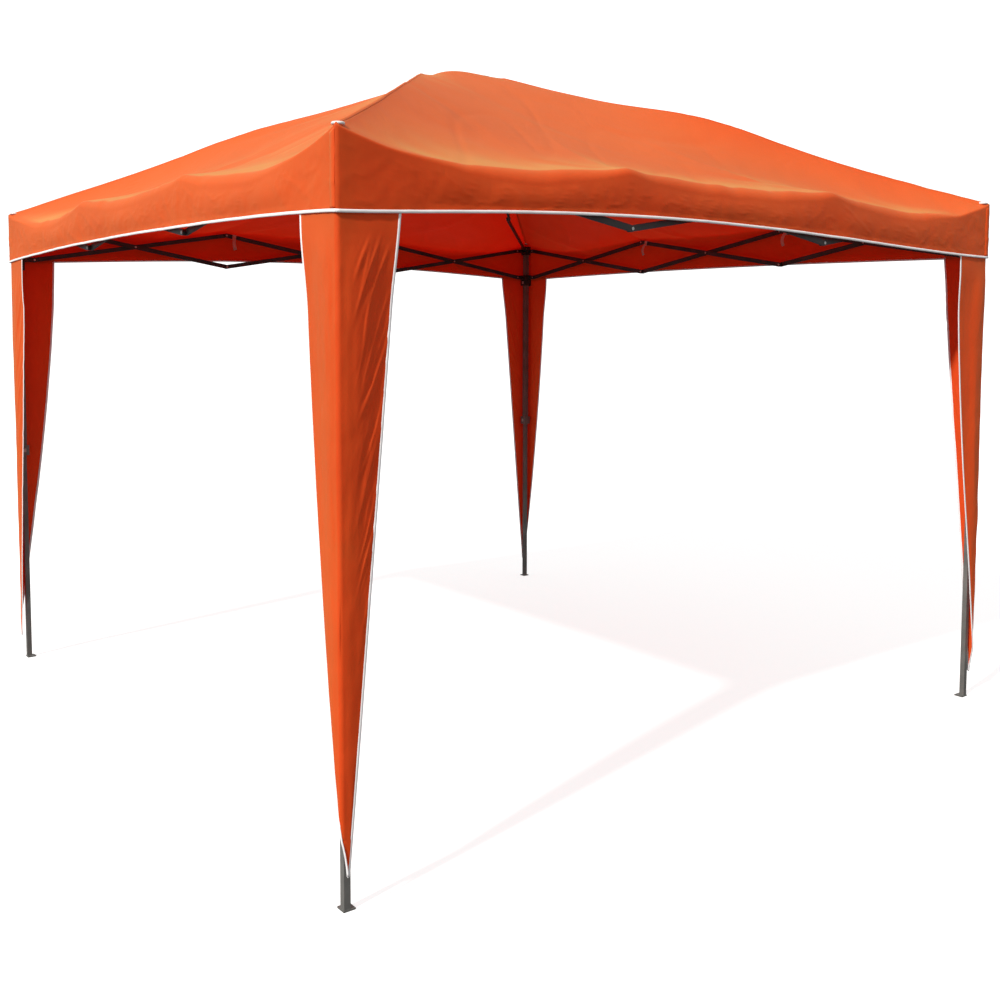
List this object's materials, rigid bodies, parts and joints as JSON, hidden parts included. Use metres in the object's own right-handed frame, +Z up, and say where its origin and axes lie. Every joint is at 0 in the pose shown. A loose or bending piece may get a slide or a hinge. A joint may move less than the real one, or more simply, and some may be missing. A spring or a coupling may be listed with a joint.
{
  "type": "pop-up canopy",
  "caption": "Pop-up canopy with a square cloth roof, valance and leg drapes on a folding scissor frame with telescoping legs.",
  "frame": {"origin": "on the ground at the centre of the footprint", "axes": "+Z up, +X and +Y along the canopy's sides, -Y the front side"},
  "size_m": [3, 3, 2.589],
  "materials": {
    "cloth": "coated woven polyester",
    "frame_steel": "satin powder coat",
    "leg_steel": "satin powder coat",
    "moulding": "fine-grained moulded nylon",
    "button": "smooth moulded nylon"
  },
  "bodies": {
    "hub": {"hub": "moulding", "canopy": "cloth", "leg_drapes": "cloth"},
    "front_left_inner_rafter": {"front_left_inner_rafter": "frame_steel"},
    "front_left_outer_rafter": {"front_left_outer_rafter": "frame_steel"},
    "front_left_leg": {"front_left_upper_leg": "leg_steel", "front_left_bracket": "moulding"},
    "front_left_lower_leg": {"front_left_lower_leg": "leg_steel"},
    "front_left_slider": {"front_left_slider": "moulding"},
    "front_left_slider_button": {"front_left_slider_button": "button"},
    "front_left_height_button": {"front_left_height_button": "button"},
    "front_right_inner_rafter": {"front_right_inner_rafter": "frame_steel"},
    "front_right_outer_rafter": {"front_right_outer_rafter": "frame_steel"},
    "front_right_leg": {"front_right_upper_leg": "leg_steel", "front_right_bracket": "moulding"},
    "front_right_lower_leg": {"front_right_lower_leg": "leg_steel"},
    "front_right_slider": {"front_right_slider": "moulding"},
    "front_right_slider_button": {"front_right_slider_button": "button"},
    "front_right_height_button": {"front_right_height_button": "button"},
    "back_right_inner_rafter": {"back_right_inner_rafter": "frame_steel"},
    "back_right_outer_rafter": {"back_right_outer_rafter": "frame_steel"},
    "back_right_leg": {"back_right_upper_leg": "leg_steel", "back_right_bracket": "moulding"},
    "back_right_lower_leg": {"back_right_lower_leg": "leg_steel"},
    "back_right_slider": {"back_right_slider": "moulding"},
    "back_right_slider_button": {"back_right_slider_button": "button"},
    "back_right_height_button": {"back_right_height_button": "button"},
    "back_left_inner_rafter": {"back_left_inner_rafter": "frame_steel"},
    "back_left_outer_rafter": {"back_left_outer_rafter": "frame_steel"},
    "back_left_leg": {"back_left_upper_leg": "leg_steel", "back_left_bracket": "moulding"},
    "back_left_lower_leg": {"back_left_lower_leg": "leg_steel"},
    "back_left_slider": {"back_left_slider": "moulding"},
    "back_left_slider_button": {"back_left_slider_button": "button"},
    "back_left_height_button": {"back_left_height_button": "button"},
    "front_bar_1_down": {"front_bar_1_down": "frame_steel"},
    "front_bar_1_up": {"front_bar_1_up": "frame_steel"},
    "front_bar_2_down": {"front_bar_2_down": "frame_steel"},
    "front_bar_2_up": {"front_bar_2_up": "frame_steel"},
    "front_bar_3_down": {"front_bar_3_down": "frame_steel"},
    "front_bar_3_up": {"front_bar_3_up": "frame_steel"},
    "right_bar_1_down": {"right_bar_1_down": "frame_steel"},
    "right_bar_1_up": {"right_bar_1_up": "frame_steel"},
    "right_bar_2_down": {"right_bar_2_down": "frame_steel"},
    "right_bar_2_up": {"right_bar_2_up": "frame_steel"},
    "right_bar_3_down": {"right_bar_3_down": "frame_steel"},
    "right_bar_3_up": {"right_bar_3_up": "frame_steel"},
    "back_bar_1_down": {"back_bar_1_down": "frame_steel"},
    "back_bar_1_up": {"back_bar_1_up": "frame_steel"},
    "back_bar_2_down": {"back_bar_2_down": "frame_steel"},
    "back_bar_2_up": {"back_bar_2_up": "frame_steel"},
    "back_bar_3_down": {"back_bar_3_down": "frame_steel"},
    "back_bar_3_up": {"back_bar_3_up": "frame_steel"},
    "left_bar_1_down": {"left_bar_1_down": "frame_steel"},
    "left_bar_1_up": {"left_bar_1_up": "frame_steel"},
    "left_bar_2_down": {"left_bar_2_down": "frame_steel"},
    "left_bar_2_up": {"left_bar_2_up": "frame_steel"},
    "left_bar_3_down": {"left_bar_3_down": "frame_steel"},
    "left_bar_3_up": {"left_bar_3_up": "frame_steel"}
  },
  "joints": [
    {"name": "frame_fold", "type": "hinge", "parent": "hub", "child": "front_left_inner_rafter", "pos_m": [-0.0403, -0.0403, 2.545], "axis": [0.7071, -0.7071, 0], "range_deg": [0, 71], "stiffness_Nm_per_rad": 5000, "deforming": ["canopy", "leg_drapes"]},
    {"name": "front_left_knee", "type": "hinge", "parent": "front_left_inner_rafter", "child": "front_left_outer_rafter", "pos_m": [-0.87462, -0.87462, 2.10598], "axis": [0.7071, -0.7071, 0], "range_deg": [-143, 1]},
    {"name": "front_left_rafter_foot", "type": "hinge", "parent": "front_left_outer_rafter", "child": "front_left_leg", "pos_m": [-1.4403, -1.4403, 2], "axis": [0.7071, -0.7071, 0], "range_deg": [-0.5, 71.5]},
    {"name": "front_right_hub_pivot", "type": "hinge", "parent": "hub", "child": "front_right_inner_rafter", "pos_m": [0.0403, -0.0403, 2.545], "axis": [0.7071, 0.7071, 0], "range_deg": [-0.5, 71.5]},
    {"name": "front_right_knee", "type": "hinge", "parent": "front_right_inner_rafter", "child": "front_right_outer_rafter", "pos_m": [0.87462, -0.87462, 2.10598], "axis": [0.7071, 0.7071, 0], "range_deg": [-143, 1]},
    {"name": "front_right_rafter_foot", "type": "hinge", "parent": "front_right_outer_rafter", "child": "front_right_leg", "pos_m": [1.4403, -1.4403, 2], "axis": [0.7071, 0.7071, 0], "range_deg": [-0.5, 71.5]},
    {"name": "back_right_hub_pivot", "type": "hinge", "parent": "hub", "child": "back_right_inner_rafter", "pos_m": [0.0403, 0.0403, 2.545], "axis": [-0.7071, 0.7071, 0], "range_deg": [-0.5, 71.5]},
    {"name": "back_right_knee", "type": "hinge", "parent": "back_right_inner_rafter", "child": "back_right_outer_rafter", "pos_m": [0.87462, 0.87462, 2.10598], "axis": [-0.7071, 0.7071, 0], "range_deg": [-143, 1]},
    {"name": "back_right_rafter_foot", "type": "hinge", "parent": "back_right_outer_rafter", "child": "back_right_leg", "pos_m": [1.4403, 1.4403, 2], "axis": [-0.7071, 0.7071, 0], "range_deg": [-0.5, 71.5]},
    {"name": "back_left_hub_pivot", "type": "hinge", "parent": "hub", "child": "back_left_inner_rafter", "pos_m": [-0.0403, 0.0403, 2.545], "axis": [-0.7071, -0.7071, 0], "range_deg": [-0.5, 71.5]},
    {"name": "back_left_knee", "type": "hinge", "parent": "back_left_inner_rafter", "child": "back_left_outer_rafter", "pos_m": [-0.87462, 0.87462, 2.10598], "axis": [-0.7071, -0.7071, 0], "range_deg": [-143, 1]},
    {"name": "back_left_rafter_foot", "type": "hinge", "parent": "back_left_outer_rafter", "child": "back_left_leg", "pos_m": [-1.4403, 1.4403, 2], "axis": [-0.7071, -0.7071, 0], "range_deg": [-0.5, 71.5]},
    {"name": "front_start_top_pivot", "type": "hinge", "parent": "front_left_leg", "child": "front_bar_1_down", "pos_m": [-1.4, -1.47, 1.987], "axis": [0, -1, 0], "range_deg": [-71.5, 0.5]},
    {"name": "front_scissor_1", "type": "hinge", "parent": "front_bar_1_down", "child": "front_bar_1_up", "pos_m": [-0.93333, -1.47, 1.9085], "axis": [0, -1, 0], "range_deg": [-1, 143]},
    {"name": "front_left_slider_pivot", "type": "hinge", "parent": "front_bar_1_up", "child": "front_left_slider", "pos_m": [-1.4, -1.47, 1.83], "axis": [0, -1, 0], "range_deg": [-71.5, 0.5]},
    {"name": "front_upper_link", "type": "hinge", "parent": "front_bar_1_up", "child": "front_bar_2_down", "pos_m": [-0.46667, -1.47, 1.987], "axis": [0, -1, 0], "range_deg": [-143, 1]},
    {"name": "front_scissor_2", "type": "hinge", "parent": "front_bar_2_down", "child": "front_bar_2_up", "pos_m": [0, -1.47, 1.9085], "axis": [0, -1, 0], "range_deg": [-1, 143]},
    {"name": "front_end_top_pivot", "type": "hinge", "parent": "front_right_leg", "child": "front_bar_3_up", "pos_m": [1.4, -1.47, 1.987], "axis": [0, -1, 0], "range_deg": [-0.5, 71.5]},
    {"name": "front_scissor_3", "type": "hinge", "parent": "front_bar_3_up", "child": "front_bar_3_down", "pos_m": [0.93333, -1.47, 1.9085], "axis": [0, -1, 0], "range_deg": [-143, 1]},
    {"name": "right_start_top_pivot", "type": "hinge", "parent": "front_right_leg", "child": "right_bar_1_down", "pos_m": [1.47, -1.4, 1.987], "axis": [1, 0, 0], "range_deg": [-71.5, 0.5]},
    {"name": "right_scissor_1", "type": "hinge", "parent": "right_bar_1_down", "child": "right_bar_1_up", "pos_m": [1.47, -0.93333, 1.9085], "axis": [1, 0, 0], "range_deg": [-1, 143]},
    {"name": "front_right_slider_pivot", "type": "hinge", "parent": "right_bar_1_up", "child": "front_right_slider", "pos_m": [1.47, -1.4, 1.83], "axis": [1, 0, 0], "range_deg": [-71.5, 0.5]},
    {"name": "right_upper_link", "type": "hinge", "parent": "right_bar_1_up", "child": "right_bar_2_down", "pos_m": [1.47, -0.46667, 1.987], "axis": [1, 0, 0], "range_deg": [-143, 1]},
    {"name": "right_scissor_2", "type": "hinge", "parent": "right_bar_2_down", "child": "right_bar_2_up", "pos_m": [1.47, 0, 1.9085], "axis": [1, 0, 0], "range_deg": [-1, 143]},
    {"name": "right_end_top_pivot", "type": "hinge", "parent": "back_right_leg", "child": "right_bar_3_up", "pos_m": [1.47, 1.4, 1.987], "axis": [1, 0, 0], "range_deg": [-0.5, 71.5]},
    {"name": "right_scissor_3", "type": "hinge", "parent": "right_bar_3_up", "child": "right_bar_3_down", "pos_m": [1.47, 0.93333, 1.9085], "axis": [1, 0, 0], "range_deg": [-143, 1]},
    {"name": "back_start_top_pivot", "type": "hinge", "parent": "back_right_leg", "child": "back_bar_1_down", "pos_m": [1.4, 1.47, 1.987], "axis": [0, 1, 0], "range_deg": [-71.5, 0.5]},
    {"name": "back_scissor_1", "type": "hinge", "parent": "back_bar_1_down", "child": "back_bar_1_up", "pos_m": [0.93333, 1.47, 1.9085], "axis": [0, 1, 0], "range_deg": [-1, 143]},
    {"name": "back_right_slider_pivot", "type": "hinge", "parent": "back_bar_1_up", "child": "back_right_slider", "pos_m": [1.4, 1.47, 1.83], "axis": [0, 1, 0], "range_deg": [-71.5, 0.5]},
    {"name": "back_upper_link", "type": "hinge", "parent": "back_bar_1_up", "child": "back_bar_2_down", "pos_m": [0.46667, 1.47, 1.987], "axis": [0, 1, 0], "range_deg": [-143, 1]},
    {"name": "back_scissor_2", "type": "hinge", "parent": "back_bar_2_down", "child": "back_bar_2_up", "pos_m": [0, 1.47, 1.9085], "axis": [0, 1, 0], "range_deg": [-1, 143]},
    {"name": "back_end_top_pivot", "type": "hinge", "parent": "back_left_leg", "child": "back_bar_3_up", "pos_m": [-1.4, 1.47, 1.987], "axis": [0, 1, 0], "range_deg": [-0.5, 71.5]},
    {"name": "back_scissor_3", "type": "hinge", "parent": "back_bar_3_up", "child": "back_bar_3_down", "pos_m": [-0.93333, 1.47, 1.9085], "axis": [0, 1, 0], "range_deg": [-143, 1]},
    {"name": "left_start_top_pivot", "type": "hinge", "parent": "back_left_leg", "child": "left_bar_1_down", "pos_m": [-1.47, 1.4, 1.987], "axis": [-1, 0, 0], "range_deg": [-71.5, 0.5]},
    {"name": "left_scissor_1", "type": "hinge", "parent": "left_bar_1_down", "child": "left_bar_1_up", "pos_m": [-1.47, 0.93333, 1.9085], "axis": [-1, 0, 0], "range_deg": [-1, 143]},
    {"name": "back_left_slider_pivot", "type": "hinge", "parent": "left_bar_1_up", "child": "back_left_slider", "pos_m": [-1.47, 1.4, 1.83], "axis": [-1, 0, 0], "range_deg": [-71.5, 0.5]},
    {"name": "left_upper_link", "type": "hinge", "parent": "left_bar_1_up", "child": "left_bar_2_down", "pos_m": [-1.47, 0.46667, 1.987], "axis": [-1, 0, 0], "range_deg": [-143, 1]},
    {"name": "left_scissor_2", "type": "hinge", "parent": "left_bar_2_down", "child": "left_bar_2_up", "pos_m": [-1.47, 0, 1.9085], "axis": [-1, 0, 0], "range_deg": [-1, 143]},
    {"name": "left_end_top_pivot", "type": "hinge", "parent": "front_left_leg", "child": "left_bar_3_up", "pos_m": [-1.47, -1.4, 1.987], "axis": [-1, 0, 0], "range_deg": [-0.5, 71.5]},
    {"name": "left_scissor_3", "type": "hinge", "parent": "left_bar_3_up", "child": "left_bar_3_down", "pos_m": [-1.47, -0.93333, 1.9085], "axis": [-1, 0, 0], "range_deg": [-143, 1]},
    {"name": "front_left_leg_height", "type": "slide", "parent": "front_left_leg", "child": "front_left_lower_leg", "axis": [0, 0, 1], "range_m": [0, 0.85], "stiffness_N_per_m": 50000},
    {"name": "front_left_slider_release", "type": "slide", "parent": "front_left_slider", "child": "front_left_slider_button", "axis": [-1, 0, 0], "range_m": [0, 0.0022]},
    {"name": "front_left_height_release", "type": "slide", "parent": "front_left_leg", "child": "front_left_height_button", "axis": [-1, 0, 0], "range_m": [0, 0.0022]},
    {"name": "front_right_leg_height", "type": "slide", "parent": "front_right_leg", "child": "front_right_lower_leg", "axis": [0, 0, 1], "range_m": [0, 0.85], "stiffness_N_per_m": 50000},
    {"name": "front_right_slider_release", "type": "slide", "parent": "front_right_slider", "child": "front_right_slider_button", "axis": [0, -1, 0], "range_m": [0, 0.0022]},
    {"name": "front_right_height_release", "type": "slide", "parent": "front_right_leg", "child": "front_right_height_button", "axis": [0, -1, 0], "range_m": [0, 0.0022]},
    {"name": "back_right_leg_height", "type": "slide", "parent": "back_right_leg", "child": "back_right_lower_leg", "axis": [0, 0, 1], "range_m": [0, 0.85], "stiffness_N_per_m": 50000},
    {"name": "back_right_slider_release", "type": "slide", "parent": "back_right_slider", "child": "back_right_slider_button", "axis": [1, 0, 0], "range_m": [0, 0.0022]},
    {"name": "back_right_height_release", "type": "slide", "parent": "back_right_leg", "child": "back_right_height_button", "axis": [1, 0, 0], "range_m": [0, 0.0022]},
    {"name": "back_left_leg_height", "type": "slide", "parent": "back_left_leg", "child": "back_left_lower_leg", "axis": [0, 0, 1], "range_m": [0, 0.85], "stiffness_N_per_m": 50000},
    {"name": "back_left_slider_release", "type": "slide", "parent": "back_left_slider", "child": "back_left_slider_button", "axis": [0, 1, 0], "range_m": [0, 0.0022]},
    {"name": "back_left_height_release", "type": "slide", "parent": "back_left_leg", "child": "back_left_height_button", "axis": [0, 1, 0], "range_m": [0, 0.0022]}
  ],
  "couplings": [
    {"joint": "front_left_knee", "follows": "frame_fold", "ratio": -2},
    {"joint": "front_left_rafter_foot", "follows": "frame_fold", "ratio": 1},
    {"joint": "front_right_hub_pivot", "follows": "frame_fold", "ratio": 1},
    {"joint": "front_right_knee", "follows": "frame_fold", "ratio": -2},
    {"joint": "front_right_rafter_foot", "follows": "frame_fold", "ratio": 1},
    {"joint": "back_right_hub_pivot", "follows": "frame_fold", "ratio": 1},
    {"joint": "back_right_knee", "follows": "frame_fold", "ratio": -2},
    {"joint": "back_right_rafter_foot", "follows": "frame_fold", "ratio": 1},
    {"joint": "back_left_hub_pivot", "follows": "frame_fold", "ratio": 1},
    {"joint": "back_left_knee", "follows": "frame_fold", "ratio": -2},
    {"joint": "back_left_rafter_foot", "follows": "frame_fold", "ratio": 1},
    {"joint": "front_start_top_pivot", "follows": "frame_fold", "ratio": -1},
    {"joint": "front_scissor_1", "follows": "frame_fold", "ratio": 2},
    {"joint": "front_left_slider_pivot", "follows": "frame_fold", "ratio": -1},
    {"joint": "front_upper_link", "follows": "frame_fold", "ratio": -2},
    {"joint": "front_scissor_2", "follows": "frame_fold", "ratio": 2},
    {"joint": "front_end_top_pivot", "follows": "frame_fold", "ratio": 1},
    {"joint": "front_scissor_3", "follows": "frame_fold", "ratio": -2},
    {"joint": "right_start_top_pivot", "follows": "frame_fold", "ratio": -1},
    {"joint": "right_scissor_1", "follows": "frame_fold", "ratio": 2},
    {"joint": "front_right_slider_pivot", "follows": "frame_fold", "ratio": -1},
    {"joint": "right_upper_link", "follows": "frame_fold", "ratio": -2},
    {"joint": "right_scissor_2", "follows": "frame_fold", "ratio": 2},
    {"joint": "right_end_top_pivot", "follows": "frame_fold", "ratio": 1},
    {"joint": "right_scissor_3", "follows": "frame_fold", "ratio": -2},
    {"joint": "back_start_top_pivot", "follows": "frame_fold", "ratio": -1},
    {"joint": "back_scissor_1", "follows": "frame_fold", "ratio": 2},
    {"joint": "back_right_slider_pivot", "follows": "frame_fold", "ratio": -1},
    {"joint": "back_upper_link", "follows": "frame_fold", "ratio": -2},
    {"joint": "back_scissor_2", "follows": "frame_fold", "ratio": 2},
    {"joint": "back_end_top_pivot", "follows": "frame_fold", "ratio": 1},
    {"joint": "back_scissor_3", "follows": "frame_fold", "ratio": -2},
    {"joint": "left_start_top_pivot", "follows": "frame_fold", "ratio": -1},
    {"joint": "left_scissor_1", "follows": "frame_fold", "ratio": 2},
    {"joint": "back_left_slider_pivot", "follows": "frame_fold", "ratio": -1},
    {"joint": "left_upper_link", "follows": "frame_fold", "ratio": -2},
    {"joint": "left_scissor_2", "follows": "frame_fold", "ratio": 2},
    {"joint": "left_end_top_pivot", "follows": "frame_fold", "ratio": 1},
    {"joint": "left_scissor_3", "follows": "frame_fold", "ratio": -2}
  ]
}
